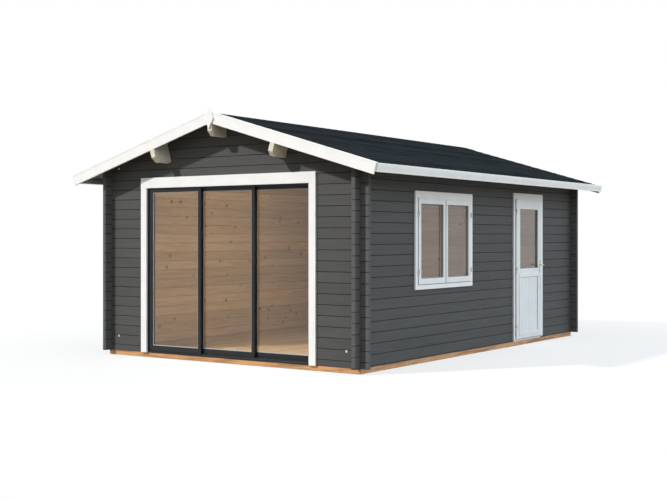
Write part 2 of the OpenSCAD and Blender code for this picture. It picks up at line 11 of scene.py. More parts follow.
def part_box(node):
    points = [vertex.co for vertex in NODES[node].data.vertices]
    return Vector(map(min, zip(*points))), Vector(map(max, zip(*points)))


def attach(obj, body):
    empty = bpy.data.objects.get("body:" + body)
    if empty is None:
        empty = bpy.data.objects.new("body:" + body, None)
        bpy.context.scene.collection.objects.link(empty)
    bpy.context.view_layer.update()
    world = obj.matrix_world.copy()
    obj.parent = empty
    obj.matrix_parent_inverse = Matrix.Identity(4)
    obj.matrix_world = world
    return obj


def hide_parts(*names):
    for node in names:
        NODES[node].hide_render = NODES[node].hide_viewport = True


bl_info = {
    "name": "Log cabin looks",
    "version": (1, 0, 0),
    "blender": (4, 5, 0),
    "location": "3D View > Sidebar > Cabin",
    "description": "Boards, shingles, fittings and finishes for a notched-log cabin",
    "category": "Object",
}

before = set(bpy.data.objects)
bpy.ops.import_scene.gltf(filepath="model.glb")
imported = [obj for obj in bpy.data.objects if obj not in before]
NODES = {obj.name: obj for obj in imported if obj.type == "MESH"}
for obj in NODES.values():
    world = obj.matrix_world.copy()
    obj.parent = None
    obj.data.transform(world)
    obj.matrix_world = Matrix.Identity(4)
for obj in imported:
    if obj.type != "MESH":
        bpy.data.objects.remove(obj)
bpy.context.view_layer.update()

# Sizes that the cabin's source gives, in metres
ROOF_PITCH = math.radians(16.5)
COS, SIN = math.cos(ROOF_PITCH), math.sin(ROOF_PITCH)
LOG_PITCH, LOG_GRID = 0.1147, 0.0686  # height of a log, and where the side courses start
LOG_T, LOG_BEVEL = 0.044, 0.005
GLASS_IN = 0.010  # depth of the glass in its groove
MEET_HALF = 0.0505  # from the window's middle to the opening of a pane
DOOR_RAIL, DOOR_FOOT = 0.106, 0.075  # middle and bottom rail of the door leaf
HANDLE_Z = 1.036

# Places of fittings that only the scene has
PULL_Z = 1.03  # the sliding panels' finger pulls
BOLT_X, BOLT_HEIGHTS = 1.637, (0.228, 2.225)  # the tie-rod bolts on the gable walls

# Sizes square to the slope, from the underside of the roof boards
BOARD_T = 0.018
SHINGLE_LOW, SHINGLE_HIGH = 0.0182, 0.026
RIDGE_CAP_HIGH = 0.030
CAP_LOW, CAP_HIGH = 0.0262, 0.041
EAVE_LOW, EAVE_T = -0.053, 0.018

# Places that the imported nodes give
WALL_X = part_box("door_frame")[1].x
WALL_Y = -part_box("slider_jambs")[0].y
ROOF_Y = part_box("roof_boards_right")[1].y
RIDGE_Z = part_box("roof_boards_right")[1].z - BOARD_T / COS
SLOPE_END = (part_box("roof_boards_right")[1].x - BOARD_T * SIN) / COS
FLOOR_LOW, FLOOR_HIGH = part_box("floor_slab")
BARGE_Y = -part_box("barge_boards_right")[0].y
TRIM_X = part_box("trim_crosspieces")[1].x
GLASS_PANELS = ("left_panel", "middle_panel", "right_panel")
LOGS_ACROSS = ("front_odd_logs", "front_even_logs", "back_odd_logs", "back_even_logs")
LOGS_ALONG = ("left_odd_logs", "left_even_logs", "right_odd_logs", "right_even_logs")

# Small values for seating, picking, cutting and welding
HAIR = 0.0005  # sets faces apart, or sinks a fitting into its seat
SAME_PLACE = 1e-5
PAST_RIDGE = -0.05  # roof pieces start here, and are cut off at the ridge
LONG_EDGE = 1.0  # an edge along a board is longer, one across it shorter
SHARP_ANGLE = math.radians(40)
WELD_REACH = 0.00002
COUNT_FROM = -3.0  # beams are told apart by their distance from here


def colour_prop(label, about, default):
    """A colour that a user may change."""
    return FloatVectorProperty(
        name=label, description=about, subtype="COLOR", size=3, min=0, max=1, default=default
    )


def length_prop(label, about, default):
    """A length that a user may change."""
    return FloatProperty(name=label, description=about, default=default, min=0, unit="LENGTH")


def count_prop(label, about, default):
    """A number of pieces that a user may change."""
    return IntProperty(name=label, description=about, default=default, min=4)


class CabinColours(bpy.types.PropertyGroup):
    """Colours of the cabin's finishes"""

    stain: colour_prop("Wall stain", "Dark grey stain on the outside of the logs", (0.0850, 0.0852, 0.0850))
    pine: colour_prop("Bare pine", "Planed pine inside the room", (0.655, 0.437, 0.236))
    pine_dark: colour_prop("Pine grain", "Late wood and knots in the pine", (0.405, 0.236, 0.108))
    purlin: colour_prop("Purlins", "Pale pine of the purlins", (0.840, 0.770, 0.630))
    lining: colour_prop("Roof boards", "Pine of the roof boards", (0.660, 0.560, 0.410))
    foundation: colour_prop("Foundation", "Impregnated beams on the ground", (0.734, 0.373, 0.162))
    white: colour_prop("White paint", "Paint of the trim and the roof's edges", (0.915, 0.915, 0.912))
    leaf_white: colour_prop("Leaf paint", "Cooler white of the window and the door", (0.845, 0.857, 0.865))
    shingle: colour_prop("Shingles", "Mineral face of the shingles", (0.0180, 0.0214, 0.0238))
    coat: colour_prop("Dark coat", "Coat on the sliding front's bars", (0.0085, 0.0100, 0.0130))
    steel: colour_prop("Satin steel", "Handle plates, locks, fastener and bolts", (0.700, 0.705, 0.710))
    spacer: colour_prop("Spacer bar", "Bright bar along the edge of a double pane", (0.520, 0.510, 0.490))
    # Grey of the rings round the window and door glass: partly rubber, partly painted shade lining the reveals.
    # The gap strips use it darkened, as painted shade.
    gasket_and_shade: colour_prop("Gasket", "Grey gasket round the window and door glass", (0.230, 0.220, 0.205))
    white_metal: colour_prop("White metal", "Coated hinges and door levers", (0.640, 0.650, 0.650))
    seal: colour_prop("Seal", "Rubber round the sliding panels' glass", (0.010, 0.010, 0.011))


class CabinSizes(bpy.types.PropertyGroup):
    """Sizes and numbers of the repeated boards and fittings"""

    courses: count_prop("Shingle courses", "Rows of shingles on a slope", 16)
    tabs: count_prop("Shingle tabs", "Shingle tabs in a row", 18)
    ridge_caps: count_prop("Ridge caps", "Shingles over the ridge", 40)
    lining: count_prop("Roof boards", "Boards in a slope of the roof", 66)
    planks: count_prop("Floor planks", "Planks across the floor", 32)
    door_boards: count_prop("Door boards", "Upright boards in the door's lower panel", 6)
    slot: length_prop("Shingle slot", "Gap between two shingle tabs", 0.007)
    joint: length_prop("Board joint", "Bevel along the edges of boards and planks", 0.003)
    edge: length_prop("Soft edge", "Rounding of the painted boards", 0.002)


def colours():
    """The cabin's colours."""
    return bpy.context.scene.cabin_colours


def sizes():
    """The cabin's sizes."""
    return bpy.context.scene.cabin_sizes


# Modelling steps


def clear_selection():
    """Leaves edit mode and deselects everything."""
    if bpy.context.object and bpy.context.object.mode != "OBJECT":
        close_piece()
    bpy.ops.object.select_all(action="DESELECT")


def focus(piece):
    """Makes a piece the only selected and active object."""
    clear_selection()
    piece.select_set(True)
    bpy.context.view_layer.objects.active = piece


def open_piece(piece):
    """Enters edit mode with all of a piece selected."""
    focus(piece)
    bpy.ops.object.mode_set(mode="EDIT")
    bpy.ops.mesh.select_all(action="SELECT")


def close_piece():
    """Leaves edit mode."""
    bpy.ops.object.mode_set(mode="OBJECT")


def settle(piece):
    """Puts a piece's place, turn and scale into its mesh."""
    focus(piece)
    bpy.ops.object.transform_apply(location=True, rotation=True, scale=True)
    return piece


def turned(piece, matrix):
    """Turns and moves a piece by a matrix, kept in its mesh."""
    piece.matrix_world = matrix
    return settle(piece)


def added(name):
    """The primitive that was just added, under its name."""
    piece = bpy.context.object
    piece.name = piece.data.name = name
    return piece


def block(name, low, high):
    """A block between two corners, the start of a board or bar."""
    low, high = Vector(low), Vector(high)
    clear_selection()
    bpy.ops.mesh.primitive_cube_add(size=1, location=(low + high) / 2)
    piece = added(name)
    piece.scale = high - low
    return settle(piece)


def cylinder(name, start, end, radius, sides=24):
    """A round bar from one point to another, the start of a pin or bolt."""
    start, end = Vector(start), Vector(end)
    clear_selection()
    bpy.ops.mesh.primitive_cylinder_add(
        vertices=sides, radius=radius, depth=(end - start).length, location=(start + end) / 2,
        rotation=(end - start).to_track_quat("Z", "Y").to_euler(),
    )
    return settle(added(name))


def sorted_corners(first, second):
    """The low and the high corner of a box between two points."""
    pairs = list(zip(first, second))
    return tuple(min(pair) for pair in pairs), tuple(max(pair) for pair in pairs)


def pick(piece, kind, test):
    """Enters edit mode and selects edges by their two ends, or faces by their centre and normal."""
    open_piece(piece)
    bpy.ops.mesh.select_mode(type=kind)
    bpy.ops.mesh.select_all(action="DESELECT")
    mesh = bmesh.from_edit_mesh(piece.data)
    found = 0
    for part in mesh.edges if kind == "EDGE" else mesh.faces:
        facts = [v.co for v in part.verts] if kind == "EDGE" else (part.calc_center_median(), part.normal)
        chosen = test(*facts)
        part.select_set(chosen)
        found += chosen
    mesh.select_flush_mode()
    bmesh.update_edit_mesh(piece.data)
    if not found:
        raise RuntimeError(f"{piece.name}: nothing to shape")


def bevel_edges(piece, test, width, segments=1):
    """Bevels the edges whose two ends pass a test."""
    pick(piece, "EDGE", test)
    bpy.ops.mesh.bevel(offset=width, segments=segments, affect="EDGES")
    close_piece()


def sink_face(piece, test, depth):
    """Lowers the face whose centre and normal pass a test."""
    pick(piece, "FACE", test)
    bpy.ops.transform.translate(value=(0, 0, -depth))
    close_piece()


def round_end(piece, axis, place, width):
    """Rounds the rim of a bar's end, where an axis has that place."""
    bevel_edges(
        piece, lambda a, b: max(abs(a[axis] - place), abs(b[axis] - place)) < SAME_PLACE, width, segments=3
    )
    return piece


def soft_block(name, low, high, width, segments=2):
    """A block with all its edges rounded."""
    piece = block(name, low, high)
    bevel_edges(piece, lambda a, b: True, width, segments)
    return piece


def cut(piece, point, normal):
    """Cuts a piece with a plane, closes it and drops what lies on the normal's side."""
    open_piece(piece)
    bpy.ops.mesh.bisect(plane_co=point, plane_no=normal, use_fill=True, clear_outer=True)
    close_piece()


def face_out(piece):
    """Turns all faces of closed shells outwards."""
    open_piece(piece)
    bpy.ops.mesh.normals_make_consistent(inside=False)
    close_piece()


def shaped_by(piece, kind, **settings):
    """Adds a modifier to a piece and applies it."""
    focus(piece)
    step = piece.modifiers.new(kind.lower(), kind)
    for key, value in settings.items():
        setattr(step, key, value)
    bpy.ops.object.modifier_apply(modifier=step.name)
    return piece


def repeat(piece, count, step):
    """Repeats a piece in a row."""
    return shaped_by(
        piece, "ARRAY", count=count, use_relative_offset=False, use_constant_offset=True,
        constant_offset_displace=step,
    )


def carve(piece, low, high):
    """Takes a block out of a piece."""
    tool = block("carving_block", low, high)
    shaped_by(piece, "BOOLEAN", operation="DIFFERENCE", solver="EXACT", object=tool)
    bpy.data.objects.remove(tool)


def mirrored(piece, name, axis=0):
    """A copy mirrored across the plane through the origin, with its own mesh and its faces turned out again."""
    focus(piece)
    bpy.ops.object.duplicate(linked=False)
    twin = added(name)
    twin.scale[axis] = -1
    settle(twin)
    face_out(twin)
    return twin


def joined(pieces, name):
    """Joins pieces into the first one."""
    clear_selection()
    for piece in pieces:
        piece.select_set(True)
    bpy.context.view_layer.objects.active = pieces[0]
    bpy.ops.object.join()
    return added(name)


def on_roof(piece):
    """Lays a flat piece on the right slope: X runs down from the ridge, Z stands off the boards."""
    turned(piece, Matrix.Translation((0, 0, RIDGE_Z)) @ Matrix.Rotation(ROOF_PITCH, 4, "Y"))
    cut(piece, (0, 0, 0), (-1, 0, 0))
    return piece


RING_SIDEWAYS = {"+X": (0, 1, 0), "-X": (0, -1, 0), "+Y": (-1, 0, 0), "-Y": (1, 0, 0)}


def ring(name, low, high, bar, soft, facing):
    """A mitred ring of bars between two corners, facing +X, -X, +Y or -Y, rounded towards the opening."""
    low, high = Vector(low), Vector(high)
    flat = 0 if "X" in facing else 1
    wide = 1 - flat
    back, front = (low[flat], high[flat]) if facing[0] == "+" else (high[flat], low[flat])
    middle = (low + high) / 2
    middle[flat] = back
    sideways, upright = Vector(RING_SIDEWAYS[facing]), Vector((0, 0, 1))
    turn = Matrix((sideways, upright, sideways.cross(upright))).transposed().to_4x4()
    size = Matrix.Diagonal((high[wide] - low[wide], high.z - low.z, 1, 1))
    clear_selection()
    bpy.ops.mesh.primitive_plane_add(size=1)
    piece = turned(added(name), Matrix.Translation(middle) @ turn @ size)
    open_piece(piece)
    bpy.ops.mesh.inset(thickness=bar)
    bpy.ops.mesh.delete(type="FACE")
    bpy.ops.mesh.select_all(action="SELECT")
    depth = Vector()
    depth[flat] = front - back
    bpy.ops.mesh.extrude_region_move(TRANSFORM_OT_translate={"value": depth})
    close_piece()
    face_out(piece)

    def at_opening(point):
        """Whether a point lies on the front rim of the opening."""
        return (
            abs(point[flat] - front) < 1e-4
            and low[wide] + bar / 2 < point[wide] < high[wide] - bar / 2
            and low.z + bar / 2 < point.z < high.z - bar / 2
        )

    bevel_edges(
        piece, lambda a, b: at_opening(a) and at_opening(b) and (a - b).length > bar * 1.5, soft, segments=3
    )
    return piece


# Finishes


class Nodes:
    """Adds and links shader nodes in one tree."""

    def __init__(self, tree):
        self.tree = tree

    def add(self, kind, settings=None, **inputs):
        """A new node. Inputs are named as its sockets, with _ for a space, or by number, such as _0."""
        node = self.tree.nodes.new(f"ShaderNode{kind}")
        for key, value in (settings or {}).items():
            setattr(node, key, value)
        for key, value in inputs.items():
            self.feed(node.inputs[int(key[1:]) if key[0] == "_" else key.replace("_", " ")], value)
        return node

    def feed(self, socket, value):
        """Links a socket to another one, or gives it a plain value."""
        if isinstance(value, bpy.types.NodeSocket):
            self.tree.links.new(value, socket)
        else:
            socket.default_value = value

    def math(self, kind, first, second=0.0):
        """One step of arithmetic."""
        return self.add("Math", {"operation": kind}, _0=first, _1=second).outputs[0]

    def times(self, first, second):
        """The product of two numbers."""
        return self.math("MULTIPLY", first, second)

    def band(self, value, low, high, to_low=0.0, to_high=1.0, curve="SMOOTHSTEP"):
        """A number taken from one range to another."""
        return self.add(
            "MapRange", {"interpolation_type": curve},
            Value=value, From_Min=low, From_Max=high, To_Min=to_low, To_Max=to_high,
        ).outputs[0]

    def blend(self, share, first, second, kind="MIX"):
        """A mix of two colours."""
        node = self.add("Mix", {"data_type": "RGBA", "blend_type": kind})
        for key, value in (("Factor_Float", share), ("A_Color", first), ("B_Color", second)):
            socket = next(s for s in node.inputs if s.identifier == key)
            if key != "Factor_Float" and not isinstance(value, bpy.types.NodeSocket):
                value = (*value[:3], 1)
            self.feed(socket, value)
        return next(s for s in node.outputs if s.identifier == "Result_Color")


class Finish(Nodes):
    """Builds one procedural material around a Principled shader."""

    def __init__(self, name):
        self.material = bpy.data.materials.new(name)
        self.material.use_nodes = True
        super().__init__(self.material.node_tree)
        self.shader = self.tree.nodes["Principled BSDF"]
        self.place = self.add("TexCoord").outputs["Object"]

    def noise(self, place, scale, detail, rough=0.55, warp=0.0):
        """Soft noise."""
        return self.add(
            "TexNoise", Vector=place, Scale=scale, Detail=detail, Roughness=rough, Distortion=warp
        ).outputs["Fac"]

    def chance(self, x, y, z):
        """A random number for each place."""
        vector = self.joined_axes(x, y, z)
        return self.add("TexWhiteNoise", {"noise_dimensions": "3D"}, Vector=vector).outputs["Value"]

    def stretched(self, place, scale):
        """A place, scaled along its axes."""
        return self.add("Mapping", Vector=place, Scale=scale).outputs[0]

    def axes(self):
        """The three axes of the place."""
        return self.add("SeparateXYZ", Vector=self.place).outputs

    def joined_axes(self, x, y, z=0.0):
        """A place from its axes."""
        return self.add("CombineXYZ", _0=x, _1=y, _2=z).outputs[0]

    def bump(self, height, strength, distance):
        """Raises the surface by a height."""
        node = self.add("Bump", Strength=strength, Distance=distance, Height=height)
        self.feed(self.shader.inputs["Normal"], node.outputs[0])

    def done(self, colour, roughness, **plain):
        """Gives the shader its colour, roughness and plain values."""
        self.feed(self.shader.inputs["Base Color"], colour)
        self.feed(self.shader.inputs["Roughness"], roughness)
        for key, value in plain.items():
            self.shader.inputs[key.replace("_", " ")].default_value = value
        return self.material


def scaled(colour, share):
    """A darker or lighter colour."""
    return tuple(min(1.0, part * share) for part in colour)


def wood_grain(finish, along, up, board, pale, dark, knots=True, tones=(0.86, 1.08), share=0.42):
    """Colour and height of wood whose grain runs along an axis, up being the other axis of its face.

    Board is a number for each board, tones the range of their shades, share the strength of the late wood.
    """
    stretch = [9.0, 9.0, 9.0]
    stretch[along] = 0.55
    apart = finish.add(
        "VectorMath", {"operation": "SCALE"}, _0=finish.joined_axes(board, board, board), Scale=3.7
    ).outputs[0]
    place = finish.add("VectorMath", {"operation": "ADD"}, _0=finish.place, _1=apart).outputs[0]
    rings = finish.noise(finish.stretched(place, stretch), 2.6, detail=5.0, rough=0.6, warp=1.4)
    fibre = finish.noise(finish.stretched(place, [part * 14 for part in stretch]), 2.0, detail=3.0)
    colour = finish.blend(finish.band(rings, 0.42, 0.66), pale, dark)
    colour = finish.blend(share, pale, colour)
    colour = finish.blend(finish.band(fibre, 0.35, 0.75, 0.0, 0.22), colour, dark)
    tone = finish.band(finish.chance(board, 0.5, 0.5), 0.0, 1.0, *tones)
    grey = finish.add("CombineColor", _0=tone, _1=tone, _2=tone).outputs[0]
    colour = finish.blend(1.0, colour, grey, "MULTIPLY")
    if knots:
        colour = knotted(finish, colour, dark, place, along, up)
    return colour, finish.math("ADD", finish.times(rings, 0.5), fibre)


def knotted(finish, colour, dark, place, along, up):
    """Wood with scattered knots that differ in size and depth, each in a warm ring."""
    parts = finish.add("SeparateXYZ", Vector=place).outputs
    cells = finish.add(
        "TexVoronoi", {"feature": "F1", "voronoi_dimensions": "2D"},
        Vector=finish.joined_axes(parts[along], parts[up]), Scale=4.5,
    ).outputs
    chances = finish.add("SeparateColor", Color=cells["Color"]).outputs
    present = finish.band(chances[0], 0.55, 0.59)
    radius = finish.band(chances[1], 0.0, 1.0, 0.030, 0.080)
    depth = finish.times(finish.band(chances[2], 0.0, 1.0, 0.45, 0.95), present)
    reach = finish.math("DIVIDE", cells["Distance"], radius)
    halo = finish.times(finish.band(reach, 0.9, 2.8, 0.5, 0.0), present)
    spot = finish.times(finish.band(reach, 0.5, 1.4, 1.0, 0.0), depth)
    return finish.blend(spot, finish.blend(halo, colour, dark), scaled(dark, 0.28))


def within(finish, x, y, depth):
    """1 where a place lies deeper than a depth behind the outer faces of the walls, 0 elsewhere."""
    return finish.times(*(
        finish.math("LESS_THAN", finish.math("ABSOLUTE", part), face - depth + HAIR)
        for part, face in ((x, WALL_X), (y, WALL_Y))
    ))


def indoors(finish, x, y):
    """1 behind the inner faces of the log walls, 0 outside."""
    return within(finish, x, y, LOG_T - LOG_BEVEL)


def log_finish(name, along, offset):
    """Grey stain outside, bare pine inside, on logs whose grain runs along an axis, with painted shade along the
    joints and painted light on the log ends.
    """
    tint = colours()
    finish = Finish(name)
    x, y, z = finish.axes()
    run = finish.math("DIVIDE", finish.math("SUBTRACT", z, LOG_GRID + offset), LOG_PITCH)
    side = finish.math("SIGN", (y, x)[along])
    board = finish.math("ADD", finish.math("FLOOR", run), finish.times(side, 0.37))
    bare, grain = wood_grain(finish, along, 2, board, tint.pine, tint.pine_dark)
    stain, stain_grain = wood_grain(
        finish, along, 2, board, tint.stain, scaled(tint.stain, 0.78), knots=False, tones=(0.95, 1.04)
    )
    # Painted light: the stain on the log ends outside the wall faces is lightened, standing in for light on their
    # shaded faces.
    painted_light_share = 1.25
    stain_with_painted_light = finish.blend(1.0, stain, [painted_light_share] * 3, "MULTIPLY")
    stain = finish.blend(within(finish, x, y, 0.0), stain_with_painted_light, stain)
    # Painted shade: along each log joint the stain goes nearly black and the bare pine darker, standing in for the
    # shade in the groove between two logs.
    to_joint = finish.times(finish.math("PINGPONG", run, 0.5), LOG_PITCH)
    joint = finish.band(to_joint, 0.0015, 0.0050, 1.0, 0.0)
    stain = finish.blend(finish.times(joint, 0.9), stain, scaled(tint.stain, 0.16))
    bare = finish.blend(finish.times(joint, 0.40), bare, scaled(tint.pine_dark, 0.45))
    finish.bump(grain, strength=0.22, distance=0.002)
    rough = finish.band(stain_grain, 0.4, 1.1, 0.55, 0.70)
    return finish.done(finish.blend(indoors(finish, x, y), stain, bare), rough, Specular_IOR_Level=0.18)


def timber_finish(name, along, pitch, across, pale, dark, start, knots=True, outside=None, share=0.42):
    """Bare timber in boards of a width, whose grain runs along an axis, maybe of another colour outdoors, such as
    a stain darkened as painted shade.
    """
    finish = Finish(name)
    parts = finish.axes()
    run = finish.math("DIVIDE", finish.math("SUBTRACT", parts[across], start), pitch)
    colour, grain = wood_grain(
        finish, along, across, finish.math("FLOOR", run), pale, dark, knots, share=share
    )
    # Outdoors the colour is partly stain and partly painted shade, much darker than the stain, for the soffits
    # under the eaves.
    if outside:
        colour = finish.blend(indoors(finish, parts[0], parts[1]), outside, colour)
    finish.bump(grain, strength=0.25, distance=0.002)
    return finish.done(colour, finish.band(grain, 0.4, 1.1, 0.48, 0.66))


def foundation_finish(name, along, across):
    """Impregnated timber with strong grain along an axis."""
    tint = colours().foundation
    return timber_finish(name, along, 0.5, across, tint, scaled(tint, 0.42), COUNT_FROM, knots=False, share=0.9)


def paint_finish(name, base):
    """Satin paint that lets a little grain and brush work show."""
    finish = Finish(name)
    cloud = finish.noise(finish.place, 5.0, detail=3.0)
    brush = finish.noise(finish.stretched(finish.place, (60.0, 60.0, 14.0)), 4.0, detail=3.0)
    fine = finish.noise(finish.place, 260.0, detail=2.0)
    colour = finish.blend(finish.band(cloud, 0.35, 0.7), base, scaled(base, 0.955))
    finish.bump(finish.math("ADD", brush, finish.times(fine, 0.4)), strength=0.08, distance=0.001)
    return finish.done(colour, finish.band(brush, 0.3, 0.7, 0.38, 0.52))


def shingle_finish(name):
    """Blue-black mineral grains, in rows and tabs that differ a little in tone."""
    tint = colours().shingle
    sized = sizes()
    finish = Finish(name)
    x, y, _ = finish.axes()
    slope = finish.math("SIGN", x)
    course = finish.math("FLOOR", finish.times(finish.math("ABSOLUTE", x), sized.courses / (SLOPE_END * COS)))
    stagger = finish.times(finish.math("MODULO", course, 2.0), 0.5)
    tab = finish.math("FLOOR", finish.math("ADD", finish.times(y, sized.tabs / (2 * ROOF_Y)), stagger))
    grains = finish.noise(finish.place, 420.0, detail=2.0, rough=0.7)
    patches = finish.noise(finish.stretched(finish.place, (1.6, 0.5, 1.0)), 2.2, detail=4.0, rough=0.6)
    tone = finish.math(
        "ADD", finish.times(finish.chance(course, tab, slope), 0.35),
        finish.times(finish.chance(course, 0.5, slope), 0.65),
    )
    colour = finish.blend(finish.band(tone, 0.1, 0.9), scaled(tint, 0.58), scaled(tint, 1.45))
    colour = finish.blend(finish.band(patches, 0.35, 0.7, 0.0, 0.4), colour, scaled(tint, 1.5))
    colour = finish.blend(finish.band(grains, 0.42, 0.68, 0.0, 0.45), colour, scaled(tint, 2.2))
    finish.bump(grains, strength=0.5, distance=0.0015)
    return finish.done(colour, finish.band(grains, 0.3, 0.7, 0.8, 0.95), Specular_IOR_Level=0.0)


def coat_finish(name, colour, low, high):
    """Powder coat or rubber: a fine orange-peel skin, its roughness between two values."""
    finish = Finish(name)
    peel = finish.noise(finish.place, 900.0, detail=2.0)
    cloud = finish.noise(finish.place, 7.0, detail=3.0)
    mixed = finish.blend(finish.band(cloud, 0.35, 0.7), colour, scaled(colour, 1.2))
    finish.bump(peel, strength=0.1, distance=0.0005)
    return finish.done(mixed, finish.band(cloud, 0.3, 0.7, low, high), Specular_IOR_Level=0.3)


def steel_finish(name, colour):
    """Satin steel with fine upright brush lines."""
    finish = Finish(name)
    lines = finish.noise(finish.stretched(finish.place, (900.0, 900.0, 30.0)), 1.0, detail=2.0)
    mixed = finish.blend(finish.band(lines, 0.3, 0.7), scaled(colour, 0.92), scaled(colour, 1.06))
    finish.bump(lines, strength=0.06, distance=0.0003)
    return finish.done(mixed, finish.band(lines, 0.3, 0.7, 0.26, 0.4), Metallic=1.0)


def glass_finish(name):
    """Clear glass with the faintest waviness."""
    finish = Finish(name)
    wave = finish.noise(finish.place, 1.6, detail=1.0)
    finish.bump(wave, strength=0.02, distance=0.002)
    return finish.done((0.93, 0.96, 0.95, 1), 0.0, Transmission_Weight=1.0, IOR=1.45, Specular_IOR_Level=0.25)


def make_finishes():
    """Makes every finish from the cabin's colours and sizes."""
    tint, sized = colours(), sizes()
    plank = (FLOOR_HIGH.x - FLOOR_LOW.x) / sized.planks
    return {
        "stain_across": log_finish("log_stain_across", 0, -LOG_PITCH / 2),
        "stain_along": log_finish("log_stain_along", 1, 0.0),
        "floor": timber_finish(
            "floor_pine", 1, plank, 0, scaled(tint.pine, 0.64), scaled(tint.pine_dark, 0.7), FLOOR_LOW.x
        ),
        "skirting": timber_finish(
            "skirting_pine", 1, 6.0, 0, tint.pine, tint.pine_dark, COUNT_FROM, knots=False
        ),
        "lining": timber_finish(
            "lining_pine", 0, 2 * ROOF_Y / sized.lining, 1, tint.lining, tint.pine_dark, -ROOF_Y,
            # Outside the walls: grey stain darkened to a fifth, partly stain and partly painted shade under the
            # eaves.
            outside=scaled(tint.stain, 0.2),
        ),
        "purlin": timber_finish(
            "purlin_pine", 1, 0.4, 0, tint.purlin, scaled(tint.purlin, 0.72), COUNT_FROM, knots=False
        ),
        "foundation": foundation_finish("foundation_timber", 0, 1),
        "foundation_along": foundation_finish("foundation_timber_along", 1, 0),
        "white": paint_finish("white_paint", tint.white),
        "leaf_white": paint_finish("leaf_paint", tint.leaf_white),
        "shingle": shingle_finish("mineral_shingle"),
        "coat": coat_finish("dark_coat", tint.coat, 0.36, 0.48),
        "seal": coat_finish("rubber_seal", tint.seal, 0.6, 0.75),
        "spacer": coat_finish("spacer_bar", tint.spacer, 0.4, 0.55),
        # Painted shade: near black, for the strips in the gaps round the casements and the door leaf.
        "painted_gap_shade": coat_finish("painted_gap_shade", scaled(tint.gasket_and_shade, 0.3), 0.5, 0.65),
        # Grey rings round the window and door glass: partly rubber, partly painted shade lining the reveals.
        "gasket_and_shade": coat_finish("grey_gasket_and_shade", tint.gasket_and_shade, 0.5, 0.65),
        "white_metal": coat_finish("white_metal", tint.white_metal, 0.3, 0.42),
        "steel": steel_finish("satin_steel", tint.steel),
        "glass": glass_finish("clear_glass"),
    }


MADE = {}


def put_finish(piece, name):
    """Gives a piece the finish of that name. All finishes are made at the first call."""
    if not MADE:
        MADE.update(make_finishes())
    piece.data.materials.clear()
    piece.data.materials.append(MADE[name])


def finish_piece(piece, body, slot, finish, *nodes):
    """Gives a new piece its finish, its body and the nodes that it stands for."""
    put_finish(piece, finish)
    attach(piece, body)
    if nodes:
        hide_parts(*nodes)


def paint_nodes(names, finish, edge=0.0):
    """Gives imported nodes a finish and, where asked, softly rounded edges."""
    for name in names:
        node = NODES[name]
        put_finish(node, finish)
        if edge:
            weld = node.modifiers.new("weld", "WELD")
            weld.merge_threshold = WELD_REACH
            soft = node.modifiers.new("soft edge", "BEVEL")
            soft.width = edge
            soft.segments = 2
            soft.limit_method = "ANGLE"
            soft.angle_limit = SHARP_ANGLE
            soft.harden_normals = False


def glaze(name):
    """Gives a glass node its finish, lets light through it and returns the corners of its sheet."""
    paint_nodes([name], "glass")
    NODES[name].visible_shadow = False
    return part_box(name)


# Pieces


class CABIN_OT_walls(bpy.types.Operator):
    """Stains the logs and finishes the foundation and the purlins"""

    bl_idname = "cabin.walls"
    bl_label = "Log walls and foundation"

    def execute(self, context):
        beam_edge, purlin_edge = 0.003, 0.004
        paint_nodes(LOGS_ACROSS, "stain_across")
        paint_nodes(LOGS_ALONG, "stain_along")
        paint_nodes(("foundation_ends", "floor_joists"), "foundation", beam_edge)
        paint_nodes(("foundation_sides",), "foundation_along", beam_edge)
        paint_nodes(("ridge_purlin", "side_purlins"), "purlin", purlin_edge)
        return {"FINISHED"}


class CABIN_OT_floor(bpy.types.Operator):
    """Lays the floor planks in place of the floor slab"""

    bl_idname = "cabin.floor"
    bl_label = "Floor planks"

    def execute(self, context):
        sized = sizes()
        width = (FLOOR_HIGH.x - FLOOR_LOW.x) / sized.planks
        apart = Vector((0.0002, 0, 0))
        plank_high = Vector((FLOOR_LOW.x + width, FLOOR_HIGH.y, FLOOR_HIGH.z))
        plank = block("floor_planks", FLOOR_LOW + apart, plank_high - apart)
        top = FLOOR_HIGH.z - 0.001
        bevel_edges(plank, lambda a, b: min(a.z, b.z) > top and abs(a.y - b.y) > LONG_EDGE, sized.joint / 2, 2)
        repeat(plank, sized.planks, (width, 0, 0))
        gap, below, above = 0.006, -0.1, 0.3
        low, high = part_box("slider_jambs")
        carve(plank, (low.x - gap, -WALL_Y, below), (high.x + gap, high.y + gap, above))
        low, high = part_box("door_frame")
        carve(plank, (low.x - gap, low.y - gap, below), (WALL_X, high.y + gap, above))
        finish_piece(plank, "cabin", "floor_timber", "floor", "floor_slab")
        return {"FINISHED"}


class CABIN_OT_roof_boards(bpy.types.Operator):
    """Lays the tongued roof boards that show under the eaves and as the ceiling"""

    bl_idname = "cabin.roof_boards"
    bl_label = "Roof boards"

    def execute(self, context):
        sized = sizes()
        width = 2 * ROOF_Y / sized.lining
        board = block("roof_lining_right", (PAST_RIDGE, -ROOF_Y, 0), (SLOPE_END, width - ROOF_Y, BOARD_T))
        bevel_edges(board, lambda a, b: max(a.z, b.z) < 0.001 and abs(a.x - b.x) > LONG_EDGE, sized.joint)
        on_roof(repeat(board, sized.lining, (0, width, 0)))
        twin = mirrored(board, "roof_lining_left")
        for piece, side in ((board, "right"), (twin, "left")):
            finish_piece(piece, "cabin", "pale_timber", "lining", f"roof_boards_{side}")
        return {"FINISHED"}


